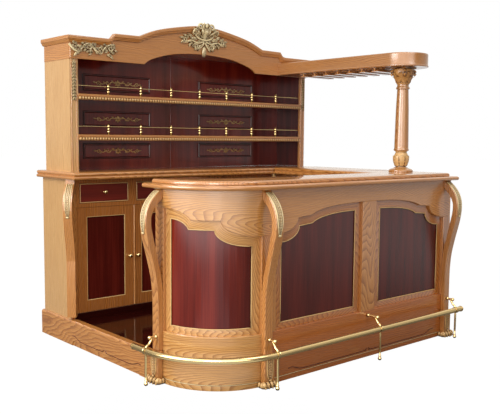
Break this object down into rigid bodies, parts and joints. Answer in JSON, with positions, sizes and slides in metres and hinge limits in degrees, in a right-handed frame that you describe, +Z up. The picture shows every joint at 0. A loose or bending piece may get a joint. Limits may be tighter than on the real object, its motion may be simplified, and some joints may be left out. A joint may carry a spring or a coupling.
{
  "type": "bar counter with shelves",
  "caption": "Home bar in oak and mahogany: curved panelled counter with foot rail, return counter, back cabinet with doors and drawers, shelf hutch and a canopy arm on a column.",
  "frame": {"origin": "on the floor under the middle of the outline", "axes": "+X along the front to the right, +Y from the front counter to the back cabinet, +Z up"},
  "size_m": [2.199, 1.894, 2.092],
  "materials": {
    "oak": "honey oak under a satin lacquer",
    "mahogany": "dark red mahogany under a gloss lacquer",
    "brass": "polished brass and gilding"
  },
  "bodies": {
    "carcass": {"plinth_left": "oak", "plinth_right": "oak", "plinth_back": "oak", "front_base": "oak", "front_frame_curved": "oak", "front_frame_flat": "oak", "bar_end_left": "oak", "bar_end_right": "oak", "bar_shelf": "oak", "front_counter_top": "oak", "front_counter_moulding": "oak", "leg_left": "oak", "leg_middle": "oak", "leg_right": "oak", "corbel_back": "oak", "return_panel_inner": "oak", "return_panel_outer": "oak", "return_counter_top": "oak", "cabinet_side_left": "oak", "cabinet_divider": "oak", "drawer_deck": "oak", "face_frame": "oak", "back_counter_top": "oak", "hutch_side_left": "oak", "hutch_top": "oak", "cornice_front": "oak", "cornice_left": "oak", "cornice_right": "oak", "canopy_arm": "oak", "column_shaft": "oak", "glass_rack": "oak", "deck": "mahogany", "front_panel_curved": "mahogany", "front_panel_left": "mahogany", "front_panel_right": "mahogany", "cabinet_back": "mahogany", "hutch_side_right": "mahogany", "hutch_back": "mahogany", "shelf_lower": "mahogany", "shelf_upper": "mahogany", "footrail": "brass", "rail_bracket_1": "brass", "rail_bracket_2": "brass", "rail_bracket_3": "brass", "rail_bracket_4": "brass", "gallery_lower": "brass", "gallery_upper": "brass", "column_capital": "brass"},
    "door_leaf_1": {"door_1": "oak", "door_panel_1": "mahogany"},
    "door_leaf_2": {"door_2": "oak", "door_panel_2": "mahogany"},
    "door_leaf_3": {"door_3": "oak", "door_panel_3": "mahogany"},
    "door_leaf_4": {"door_4": "oak", "door_panel_4": "mahogany"},
    "drawer_box_1": {"drawer_1": "mahogany"},
    "drawer_box_2": {"drawer_2": "mahogany"},
    "drawer_box_3": {"drawer_3": "mahogany"},
    "drawer_box_4": {"drawer_4": "mahogany"}
  },
  "joints": [
    {"name": "door_1_hinge", "type": "hinge", "parent": "carcass", "child": "door_leaf_1", "pos_m": [-0.9485, 0.547, 0.53], "axis": [0, 0, -1], "range_deg": [0, 95]},
    {"name": "door_2_hinge", "type": "hinge", "parent": "carcass", "child": "door_leaf_2", "pos_m": [-0.1285, 0.547, 0.53], "axis": [0, 0, 1], "range_deg": [0, 85]},
    {"name": "door_3_hinge", "type": "hinge", "parent": "carcass", "child": "door_leaf_3", "pos_m": [-0.0885, 0.547, 0.53], "axis": [0, 0, -1], "range_deg": [0, 85]},
    {"name": "door_4_hinge", "type": "hinge", "parent": "carcass", "child": "door_leaf_4", "pos_m": [0.7315, 0.547, 0.53], "axis": [0, 0, 1], "range_deg": [0, 85]},
    {"name": "drawer_1_slide", "type": "slide", "parent": "carcass", "child": "drawer_box_1", "axis": [0, -1, 0], "range_m": [0, 0.25]},
    {"name": "drawer_2_slide", "type": "slide", "parent": "carcass", "child": "drawer_box_2", "axis": [0, -1, 0], "range_m": [0, 0.25]},
    {"name": "drawer_3_slide", "type": "slide", "parent": "carcass", "child": "drawer_box_3", "axis": [0, -1, 0], "range_m": [0, 0.25]},
    {"name": "drawer_4_slide", "type": "slide", "parent": "carcass", "child": "drawer_box_4", "axis": [0, -1, 0], "range_m": [0, 0.25]}
  ]
}
